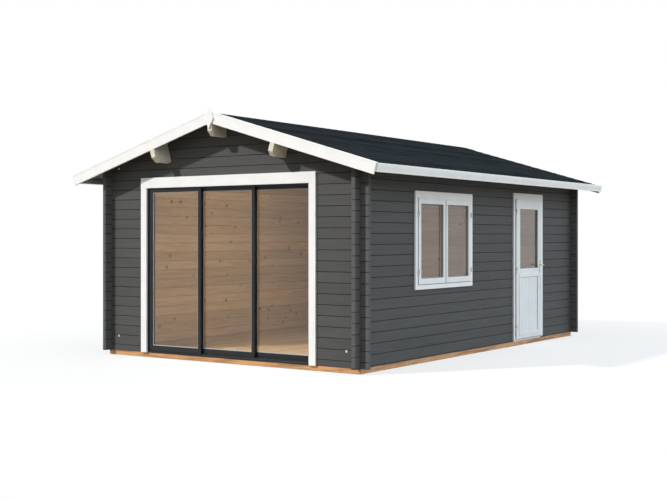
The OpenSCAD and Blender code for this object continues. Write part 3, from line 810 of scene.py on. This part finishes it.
class CABIN_OT_shingles(bpy.types.Operator):
    """Lays staggered courses of shingle tabs and the caps over the ridge"""

    bl_idname = "cabin.shingles"
    bl_label = "Shingles"

    lap = 0.012  # how far a tab or cap runs under the next one
    tab_fall, cap_fall = 0.0045, 0.0028  # how much lower its lapped end lies

    def course(self, name, start, shift, count):
        """Every second course of tabs, wedge-shaped so that each laps the one below"""
        sized = sizes()
        show = SLOPE_END / sized.courses
        width = 2 * ROOF_Y / sized.tabs
        low_y = -ROOF_Y + shift * width
        tab = block(
            name, (start - self.lap, low_y + sized.slot / 2, SHINGLE_LOW),
            (start + show, low_y + width - sized.slot / 2, SHINGLE_HIGH),
        )
        sink_face(tab, lambda centre, normal: normal.x < -0.9, self.tab_fall)
        lower, over = start + show - 0.001, SHINGLE_LOW + 0.001
        bevel_edges(tab, lambda a, b: min(a.x, b.x) > lower and max(a.z, b.z) > over, 0.0012)
        repeat(tab, count, (0, width, 0))
        for side in (-1, 1):
            cut(tab, (0, side * ROOF_Y, 0), (0, side, 0))
        return repeat(tab, sized.courses // 2, (2 * show, 0, 0))

    def caps(self):
        """Caps along the ridge, each lapped by the next"""
        low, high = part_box("ridge_strip_right")
        count = sizes().ridge_caps
        step = (high.y - low.y) / count
        cap = block(
            "ridge_caps", (PAST_RIDGE, low.y, SHINGLE_HIGH), (0.15, low.y + step + self.lap, RIDGE_CAP_HIGH)
        )
        sink_face(cap, lambda centre, normal: normal.y > 0.9, self.cap_fall)
        bevel_edges(cap, lambda a, b: min(a.z, b.z) > RIDGE_CAP_HIGH - 0.0002, 0.001)
        repeat(cap, count, (0, step, 0))
        cut(cap, (0, high.y, 0), (0, 1, 0))
        on_roof(cap)
        return joined([cap, mirrored(cap, "ridge_caps_left")], "ridge_caps")

    def execute(self, context):
        sized = sizes()
        underlay_t = 0.0012
        courses = [
            self.course("shingle_tabs_right", 0.0, 0.0, sized.tabs),
            self.course("shingle_tabs_odd", SLOPE_END / sized.courses, -0.5, sized.tabs + 1),
            block(
                "shingle_underlay", (PAST_RIDGE, -ROOF_Y, SHINGLE_LOW),
                (SLOPE_END, ROOF_Y, SHINGLE_LOW + underlay_t),
            ),
        ]
        right = on_roof(joined(courses, "shingle_tabs_right"))
        left = mirrored(right, "shingle_tabs_left")
        for piece, side in ((right, "right"), (left, "left")):
            finish_piece(piece, "cabin", "shingle", "shingle", f"shingles_{side}")
        finish_piece(self.caps(), "cabin", "shingle", "shingle", "ridge_strip_left", "ridge_strip_right")
        return {"FINISHED"}


class CABIN_OT_white_boards(bpy.types.Operator):
    """Paints the trim, barge boards, window and door timber white and adds the strips along the roof's edges"""

    bl_idname = "cabin.white_boards"
    bl_label = "White boards"

    def execute(self, context):
        edge = sizes().edge
        names = [f"{part}_{side}" for part in ("barge_boards", "barge_caps") for side in ("left", "right")]
        names += ["gable_finials", "eave_boards", "trim_uprights", "trim_crosspieces"]
        paint_nodes(names, "white", edge)
        paint_nodes(("window_frame", "window_casements", "door_frame", "door_leaf"), "leaf_white", edge)
        beside_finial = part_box("gable_finials")[1].x + 0.004
        eave = SLOPE_END + EAVE_T
        strips = (
            soft_block(
                "cap_drips", (beside_finial, -BARGE_Y - 0.0022, CAP_LOW), (SLOPE_END, -BARGE_Y, CAP_HIGH), 0.0008
            ),
            soft_block(
                "eave_beads", (eave, -ROOF_Y, EAVE_LOW), (eave + 0.007, ROOF_Y, EAVE_LOW + 0.014), 0.003
            ),
        )
        for strip in strips:
            both = joined([on_roof(strip), mirrored(strip, "other_slope")], strip.name)
            finish_piece(both, "cabin", "white_paint", "white")
        return {"FINISHED"}


class CABIN_OT_sliding_front(bpy.types.Operator):
    """Coats the sliding front's bars and adds the glass, its edge bars and seals, and the pulls"""

    bl_idname = "cabin.sliding_front"
    bl_label = "Sliding front"

    # Each ring's kind, distance from the bars, width and height over the glass
    ring_sizes = (("seal", 0.0, 0.003, 0.003), ("spacer", 0.003, 0.007, 0.0008))

    def edge_rings(self, panel, low, high, kind, inset, bar, depth):
        """Rings of seal or spacer bar on both faces of a panel's glass"""
        name = f"{panel}_{kind}"
        step = Vector((GLASS_IN + inset, 0, GLASS_IN + inset))
        reach = Vector((0, depth, 0))
        front_high, back_low = Vector((high.x, low.y, high.z)), Vector((low.x, high.y, low.z))
        rings = [
            ring(name, low + step - reach, front_high - step, bar, depth * 0.4, "-Y"),
            ring(f"{name}_back", back_low + step, high - step + reach, bar, depth * 0.4, "+Y"),
        ]
        finish_piece(joined(rings, name), panel, "dark_aluminium", kind)

    def pull(self, panel, side):
        """A shallow finger pull on the front of a panel's upright bar"""
        low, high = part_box(f"{panel}_frame")
        x = (low.x if side < 0 else high.x) - side * 0.022
        z, front = PULL_Z, low.y
        wide, tall, thick = 0.011, 0.06, 0.0016
        plate = block(f"{panel}_pull", (x - wide, front - thick, z - tall), (x + wide, front, z + tall))
        bevel_edges(plate, lambda a, b: abs(a.y - b.y) > 0.001, 0.010, 5)
        pick(plate, "FACE", lambda centre, normal: normal.y < -0.9)
        bpy.ops.mesh.inset(thickness=0.003)
        bpy.ops.mesh.inset(thickness=0.001)
        bpy.ops.transform.translate(value=(0, 0.0012, 0))
        close_piece()
        finish_piece(plate, panel, "dark_aluminium", "coat")

    def execute(self, context):
        paint_nodes(("slider_head", "slider_sill", "slider_jambs"), "coat", 0.0012)
        paint_nodes([f"{panel}_frame" for panel in GLASS_PANELS], "coat", 0.0015)
        for panel, side in zip(GLASS_PANELS, (-1, 1, 1)):
            low, high = glaze(f"{panel}_glass")
            for kind, inset, bar, depth in self.ring_sizes:
                self.edge_rings(panel, low, high, kind, inset, bar, depth)
            self.pull(panel, side)
        return {"FINISHED"}


class CABIN_OT_window(bpy.types.Operator):
    """Glazes the window and adds grey rings round its glass, partly rubber and partly painted shade in the
    reveals, its beads and head strip, near-black strips of painted shade in the gaps, and its hinges and fastener
    """

    bl_idname = "cabin.window"
    bl_label = "Window"

    def head_strip(self, inner, outer):
        """The strip over the casements, on its foot"""
        y0, y1, top = inner.y - 0.003, outer.y + 0.003, outer.z + 0.016
        lip = soft_block(
            "window_head_strip", (outer.x + 0.0008, y0, outer.z - 0.006), (outer.x + 0.006, y1, top), 0.0018
        )
        foot = block("head_strip_foot", (TRIM_X + HAIR, y0, outer.z + 0.004), (outer.x + 0.002, y1, top))
        return joined([lip, foot], "window_head_strip")

    def seals(self, inner, outer, middle):
        """Near-black strips of painted shade on three sides of the casements, and in and over the gap where they
        meet
        """
        seat, face, edge, width = TRIM_X + 0.0003, TRIM_X + 0.003, 0.001, 0.0055
        foot = inner.z - width
        before, behind = inner.y - width, outer.y + width
        bars = (
            ((seat, before, foot), (face, inner.y, outer.z), edge),
            ((seat, outer.y, foot), (face, behind, outer.z), edge),
            ((seat, inner.y, foot), (face, outer.y, inner.z), edge),
            ((outer.x - 0.036, middle - 0.0023, inner.z), (outer.x - HAIR, middle + 0.0023, outer.z), 0.0008),
            ((outer.x + 0.0002, middle - 0.006, inner.z), (outer.x + 0.0012, middle + 0.006, outer.z), 0.0004),
        )
        return joined([soft_block("window_gap_shade", *bar) for bar in bars], "window_gap_shade")

    def hinge(self, edge, side, z, face):
        """A hinge with a barrel over an upright edge: side points to the casement, face is the casement's"""
        x, half, flap_half = face + 0.007, 0.030, 0.024
        barrel = cylinder("window_hinges", (x, edge, z - half), (x, edge, z + half), 0.0068, 20)
        for end in (z - half, z + half):
            round_end(barrel, 2, end, 0.002)
        flaps = [
            soft_block(
                "hinge_flap", *sorted_corners((back, edge, z - flap_half), (front, reach, z + flap_half)), 0.0006
            )
            for back, front, reach in (
                (face, face + 0.002, edge + side * 0.020), (TRIM_X, face + 0.003, edge - side * 0.012)
            )
        ]
        return joined([barrel, *flaps], "window_hinges")

    def fastener(self, y, z, face):
        """The lever inside that holds the casements shut"""
        neck_z = z + 0.012
        return joined([
            soft_block(
                "window_fastener", (face - 0.007, y - 0.013, z - 0.035), (face, y + 0.013, z + 0.035), 0.003
            ),
            cylinder("fastener_neck", (face - 0.036, y, neck_z), (face - 0.006, y, neck_z), 0.008),
            soft_block(
                "fastener_lever", (face - 0.044, y - 0.009, z - 0.095), (face - 0.032, y + 0.009, z + 0.024),
                0.005, 3,
            ),
        ], "window_fastener")

    def execute(self, context):
        low, high = glaze("window_glass")
        inner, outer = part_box("window_casements")
        middle = (low.y + high.y) / 2
        z0, z1 = low.z + GLASS_IN, high.z - GLASS_IN
        gasket_and_shade_rings, beads = [], []
        for y0, y1 in ((low.y + GLASS_IN, middle - MEET_HALF), (middle + MEET_HALF, high.y - GLASS_IN)):
            # Grey rings 20 mm deep in front of the glass: partly rubber, partly painted shade that darkens the
            # reveals.
            gasket_and_shade_rings.append(
                ring("window_gasket_and_shade", (high.x, y0, z0), (high.x + 0.020, y1, z1), 0.004, 0.0015, "+X")
            )
            beads.append(ring("window_beads", (inner.x, y0, z0), (low.x, y1, z1), 0.010, 0.004, "-X"))
        beads.append(self.head_strip(inner, outer))
        # Painted shade: dark strips standing in for the shade in the gaps round the casements.
        seals = self.seals(inner, outer, middle)
        hinges = [
            self.hinge(edge, side, z, outer.x)
            for edge, side in ((inner.y - 0.001, 1), (outer.y + 0.001, -1))
            for z in (inner.z + 0.139, outer.z - 0.164)
        ]
        finish_piece(joined(beads, "window_beads"), "cabin", "white_paint", "leaf_white")
        finish_piece(seals, "cabin", "white_paint", "painted_gap_shade")
        finish_piece(joined(gasket_and_shade_rings, "window_gasket_and_shade"), "cabin", "white_paint", "gasket_and_shade")
        finish_piece(joined(hinges, "window_hinges"), "cabin", "bright_steel", "white_metal")
        fastener = self.fastener(middle + 0.027, (inner.z + outer.z) / 2, inner.x)
        finish_piece(fastener, "cabin", "bright_steel", "steel")
        return {"FINISHED"}


class CABIN_OT_side_door(bpy.types.Operator):
    """Glazes the side door and adds grey rings round its glass, partly rubber and partly painted shade in the
    reveals, its lower boards, moulding and head strip, a near-black strip of painted shade in the gap beside the
    leaf, and its handle
    """

    bl_idname = "cabin.side_door"
    bl_label = "Side door"

    def panel(self, y0, y1, z0, z1, sides):
        """Upright boards and a moulding on both faces of the lower panel"""
        count = sizes().door_boards
        width = (y1 - y0) / count
        over = 0.035
        boards = []
        for face, out in sides:
            base, top = face - out * 0.008, face - out * 0.005
            board = block("door_panel_boards", *sorted_corners((base, y0, z0), (top, y0 + width, z1)))
            bevel_edges(
                board,
                lambda a, b: max(abs(a.x - top), abs(b.x - top)) < SAME_PLACE and abs(a.z - b.z) > 0.1,
                0.0024,
            )
            boards.append(repeat(board, count, (0, width, 0)))
            corners = sorted_corners(
                (face, y0 - over, z0 - over), (face + out * 0.006, y1 + over, z1 + over)
            )
            boards.append(ring("door_moulding", *corners, 0.042, 0.004, "+X" if out > 0 else "-X"))
        finish_piece(joined(boards, "door_panel_boards"), "side_door", "white_paint", "leaf_white")

    def lever(self, x, out, y, z):
        """One curved lever with its neck, swept from a round section"""
        reach, bend, blade, tip_bend = 0.052, 0.014, 0.080, 0.045
        clear_selection()
        bpy.ops.mesh.primitive_circle_add(vertices=20, radius=0.0095, fill_type="NGON")
        turn = Matrix.Rotation(math.radians(90) * out, 4, "Y")
        lever = turned(added("lever_side"), Matrix.Translation((x, y, z)) @ turn)
        open_piece(lever)
        bpy.ops.mesh.extrude_region_move(TRANSFORM_OT_translate={"value": (out * reach, 0, 0)})
        bpy.ops.mesh.spin(
            steps=6, angle=math.radians(90) * -out, center=(x + out * reach, y - bend, z), axis=(0, 0, 1)
        )
        bpy.ops.mesh.extrude_region_move(TRANSFORM_OT_translate={"value": (0, -blade, 0)})
        tip_x, tip_y = x + out * (reach + bend), y - bend - blade
        bpy.ops.transform.resize(value=(0.8, 1, 1.1), center_override=(tip_x, tip_y, z))
        bpy.ops.mesh.spin(
            steps=4, angle=math.radians(35) * -out, center=(tip_x - out * tip_bend, tip_y, z), axis=(0, 0, 1)
        )
        bpy.ops.mesh.inset(thickness=0.003)
        close_piece()
        face_out(lever)
        bpy.ops.object.shade_smooth_by_angle(angle=SHARP_ANGLE)
        return lever

    def stud(self, name, face, out, y, z, radius, height, edge, sides):
        """A round head with a rounded rim on a handle plate"""
        tip = face + out * height
        return round_end(cylinder(name, (face - out * HAIR, y, z), (tip, y, z), radius, sides), 0, tip, edge)

    def handle(self):
        """Levers on both ends of their bar, and the locks, screws and keyholes of the handle plates"""
        low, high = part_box("handle_plates")
        sides = ((high.x, 1), (low.x, -1))
        y, z = (low.y + high.y) / 2, HANDLE_Z
        levers = [cylinder("door_lever_bar", (low.x, y, z), (high.x, y, z), 0.005, 16)]
        levers += [self.lever(face, out, y, z) for face, out in sides]
        finish_piece(joined(levers, "door_levers"), "door_lever", "bright_steel", "white_metal", "door_lever")
        lock_z, lock_out = z - 0.072, 0.004
        locks, keyholes = [], []
        for face, out in sides:
            for screw_z in (low.z + 0.012, high.z - 0.012):
                locks.append(self.stud("plate_screw", face, out, y, screw_z, 0.004, 0.0015, 0.001, 16))
            locks.append(self.stud("lock_barrel", face, out, y, lock_z, 0.0085, lock_out, 0.001, 24))
            foot = sorted_corners(
                (face - out * HAIR, y - 0.005, z - 0.098), (face + out * lock_out, y + 0.005, lock_z)
            )
            locks.append(soft_block("lock_foot", *foot, 0.001))
            keyholes.append(self.stud("keyholes", face, out, y, z + 0.041, 0.0075, 0.0012, 0.0006, 20))
        finish_piece(joined(locks, "lock_and_screws"), "side_door", "bright_steel", "steel")
        finish_piece(joined(keyholes, "keyholes"), "side_door", "bright_steel", "seal")

    def execute(self, context):
        glass_low, glass_high = glaze("door_glass")
        low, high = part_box("door_leaf")
        paint_nodes(("door_hinge_pins", "door_hinge_knuckles"), "white_metal", 0.0008)
        paint_nodes(("handle_plates",), "steel", 0.002)
        y0, y1 = glass_low.y + GLASS_IN, glass_high.y - GLASS_IN
        z0, z1 = glass_low.z + GLASS_IN, glass_high.z - GLASS_IN
        sunk = 0.004
        # Grey rings filling the recess before the glass: partly rubber, partly painted shade that darkens the
        # reveals.
        gasket_and_shade_rings = [
            ring("door_gasket_and_shade", (glass_high.x, y0, z0), (high.x - sunk, y1, z1), 0.005, 0.002, "+X"),
            ring("door_gasket_and_shade_in", (low.x + sunk, y0, z0), (glass_low.x, y1, z1), 0.005, 0.002, "-X"),
        ]
        finish_piece(joined(gasket_and_shade_rings, "door_gasket_and_shade"), "side_door", "white_paint", "gasket_and_shade")
        self.panel(y0, y1, low.z + DOOR_FOOT, z0 - DOOR_RAIL, ((high.x, 1), (low.x, -1)))
        strip = soft_block(
            "door_head_strip", (high.x, low.y + 0.030, high.z - 0.012),
            (high.x + 0.006, high.y - 0.004, high.z + 0.013), 0.002,
        )
        finish_piece(strip, "side_door", "white_paint", "leaf_white")
        # Painted shade: a near-black strip on the trim beside the leaf's hinged edge, standing in for the shade in
        # the gap.
        seal = soft_block(
            "door_gap_shade", (TRIM_X + 0.0003, low.y - 0.020, low.z + 0.010),
            (TRIM_X + 0.0025, low.y - 0.008, high.z), 0.0008,
        )
        finish_piece(seal, "cabin", "white_paint", "painted_gap_shade")
        self.handle()
        return {"FINISHED"}


class CABIN_OT_fixings(bpy.types.Operator):
    """Adds the tie-rod bolts at the corners of the two gable walls"""

    bl_idname = "cabin.fixings"
    bl_label = "Tie-rod bolts"

    def execute(self, context):
        face = -WALL_Y
        # Where the washer and the head start and end, their radius, sides and rounding
        bolt = ((0.0, 0.003, 0.014, 24, 0.001), (0.002, 0.009, 0.009, 20, 0.004))
        bolts = [
            round_end(
                cylinder("tie_bolts", (x, face - start, z), (x, face - end, z), radius, count), 1, face - end, edge
            )
            for x in (-BOLT_X, BOLT_X) for z in BOLT_HEIGHTS for start, end, radius, count, edge in bolt
        ]
        front = joined(bolts, "tie_bolts")
        back = mirrored(front, "tie_bolts_back", 1)
        finish_piece(joined([front, back], "tie_bolts"), "cabin", "bright_steel", "steel")
        return {"FINISHED"}


class CABIN_OT_skirting(bpy.types.Operator):
    """Runs a skirting along the inner faces of the walls, broken at the doors"""

    bl_idname = "cabin.skirting"
    bl_label = "Skirting"

    def execute(self, context):
        x, y = WALL_X - LOG_T - 0.001, WALL_Y - LOG_T - 0.001
        thick, low, high = 0.016, FLOOR_HIGH.z + HAIR, FLOOR_HIGH.z + 0.045
        gap = 0.01
        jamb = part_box("slider_jambs")[1].x + gap
        door_low, door_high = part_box("door_frame")
        # From and to in X, then in Y
        runs = (
            (-x, thick - x, -y, y),
            (thick - x, x, y - thick, y),
            (x - thick, x, -y, door_low.y - gap),
            (x - thick, x, door_high.y + gap, y - thick),
            (thick - x, -jamb, -y, thick - y),
            (jamb, x - thick, -y, thick - y),
        )
        pieces = [soft_block("skirting", (x0, y0, low), (x1, y1, high), 0.004) for x0, x1, y0, y1 in runs]
        finish_piece(joined(pieces, "skirting"), "cabin", "floor_timber", "skirting")
        return {"FINISHED"}


class CABIN_OT_stage(bpy.types.Operator):
    """Sets up the pale floor, the studio light and the camera"""

    bl_idname = "cabin.stage"
    bl_label = "Stage"

    def seen_share(self, nodes):
        """1 for rays that look at the background straight, in a mirror or through glass"""
        path = nodes.add("LightPath").outputs
        share = path["Is Camera Ray"]
        for name in ("Is Glossy Ray", "Is Transmission Ray"):
            share = nodes.math("MAXIMUM", share, path[name])
        return share

    def sky(self, scene):
        """A pale blue sky, brighter to the right and behind the cabin, and plain white where it is seen"""
        world = bpy.data.worlds.new("studio")
        scene.world = world
        world.use_nodes = True
        sky = Nodes(world.node_tree)
        x, y, z = sky.add("SeparateXYZ", Vector=sky.add("TexCoord").outputs["Generated"]).outputs
        ramp = sky.add("ValToRGB", Fac=z)
        stops = ramp.color_ramp.elements
        stops[0].color = (0.30, 0.30, 0.30, 1)
        for height, level in ((0.10, 0.36), (0.28, 1.0), (0.55, 1.0), (0.85, 0.42)):
            stops.new(height).color = (level, level, level, 1)
        fill = sky.band(x, -0.6, 1.0, 0.14, 2.08, "LINEAR")
        rear = sky.band(y, 0.15, 0.85, 0.93, 2.1, "LINEAR")
        ambient = sky.tree.nodes["Background"]
        sky.feed(ambient.inputs["Color"], (0.81, 0.92, 1.0, 1))
        sky.feed(ambient.inputs["Strength"], sky.times(sky.times(ramp.outputs[0], fill), rear))
        white = sky.add("Background", Color=(1, 1, 1, 1))
        mix = sky.add("MixShader", _0=self.seen_share(sky), _1=ambient.outputs[0], _2=white.outputs[0])
        sky.feed(sky.tree.nodes["World Output"].inputs[0], mix.outputs[0])

    def floor_finish(self):
        """A pale matt floor that fades to plain white away from the cabin and throws back a dim, warm light"""
        floor = Finish("pale_floor")
        thrown = floor.add("LightPath").outputs["Is Diffuse Ray"]
        floor.done(
            floor.blend(thrown, (0.86, 0.86, 0.86), (0.25, 0.205, 0.14)), 0.9, Specular_IOR_Level=0.1
        )
        reach = floor.add("VectorMath", {"operation": "LENGTH"}, _0=floor.place).outputs["Value"]
        seen = floor.times(self.seen_share(floor), floor.band(reach, 3.0, 9.0, 0.68, 1.0))
        white = floor.add("Emission").outputs[0]
        mix = floor.add("MixShader", _0=seen, _1=floor.shader.outputs[0], _2=white)
        floor.feed(floor.tree.nodes["Material Output"].inputs[0], mix.outputs[0])
        return floor.material

    def lamp(self, name, kind, energy, colour):
        """A lamp in the scene"""
        light = bpy.data.lights.new(name, kind)
        light.energy = energy
        light.color = colour
        return self.placed(name, light)

    def placed(self, name, data):
        """A lamp or camera, put in the scene"""
        item = bpy.data.objects.new(name, data)
        bpy.context.scene.collection.objects.link(item)
        return item

    def execute(self, context):
        scene = context.scene
        scene.view_settings.view_transform = "Standard"
        self.sky(scene)

        clear_selection()
        bpy.ops.mesh.primitive_circle_add(vertices=96, radius=70, fill_type="NGON", location=(0, 0, -HAIR))
        floor = bpy.context.object
        floor.name = "studio_floor"
        floor.data.materials.append(self.floor_finish())

        sun = self.lamp("key_sun", "SUN", 3.0, (1.0, 0.965, 0.925))
        sun.data.angle = math.radians(3)
        side, height = math.radians(33.6), math.radians(37)
        toward = Vector((-math.sin(side), -math.cos(side), math.tan(height)))
        sun.rotation_euler = toward.to_track_quat("Z", "Y").to_euler()

        glow = self.lamp("room_lamp", "AREA", 23, (1.0, 0.94, 0.83))
        glow.data.shape = "RECTANGLE"
        glow.data.size, glow.data.size_y = 1.2, 3.0
        glow.location = (0.2, -0.95, 1.98)
        glow.rotation_euler.y = math.radians(30)
        glow.visible_camera = glow.visible_glossy = glow.visible_transmission = False

        lens = bpy.data.cameras.new("photo_camera")
        lens.sensor_width = 36.0
        lens.lens = 60.66
        lens.shift_y = -0.02013
        lens.clip_end = 500
        camera = self.placed("photo_camera", lens)
        camera.location = (8.0843, -12.3808, 1.4123)
        camera.rotation_euler = (math.radians(90), 0, math.radians(34.4815))
        scene.camera = camera
        return {"FINISHED"}


STEPS = (
    CABIN_OT_stage,
    CABIN_OT_walls,
    CABIN_OT_floor,
    CABIN_OT_roof_boards,
    CABIN_OT_shingles,
    CABIN_OT_white_boards,
    CABIN_OT_sliding_front,
    CABIN_OT_window,
    CABIN_OT_side_door,
    CABIN_OT_fixings,
    CABIN_OT_skirting,
)


class CABIN_PT_steps(bpy.types.Panel):
    """Lists the steps that dress the cabin, and its colours and sizes"""

    bl_idname = "CABIN_PT_steps"
    bl_label = "Log cabin"
    bl_space_type = "VIEW_3D"
    bl_region_type = "UI"
    bl_category = "Cabin"

    def draw(self, context):
        layout = self.layout
        for step in STEPS:
            layout.operator(step.bl_idname)
        for group in (colours(), sizes()):
            for key in group.bl_rna.properties.keys():
                if key not in ("rna_type", "name"):
                    layout.prop(group, key)


CLASSES = (CabinColours, CabinSizes, *STEPS, CABIN_PT_steps)


def register():
    """Makes the steps, the panel and the cabin's colours and sizes known to Blender."""
    for cls in CLASSES:
        bpy.utils.register_class(cls)
    bpy.types.Scene.cabin_colours = PointerProperty(type=CabinColours)
    bpy.types.Scene.cabin_sizes = PointerProperty(type=CabinSizes)


def unregister():
    """Takes them out again."""
    del bpy.types.Scene.cabin_sizes
    del bpy.types.Scene.cabin_colours
    for cls in reversed(CLASSES):
        bpy.utils.unregister_class(cls)


def main():
    """Dresses the cabin step by step."""
    register()
    for step in STEPS:
        group, name = step.bl_idname.split(".")
        getattr(getattr(bpy.ops, group), name)()
    clear_selection()


if __name__ == "__main__":
    main()
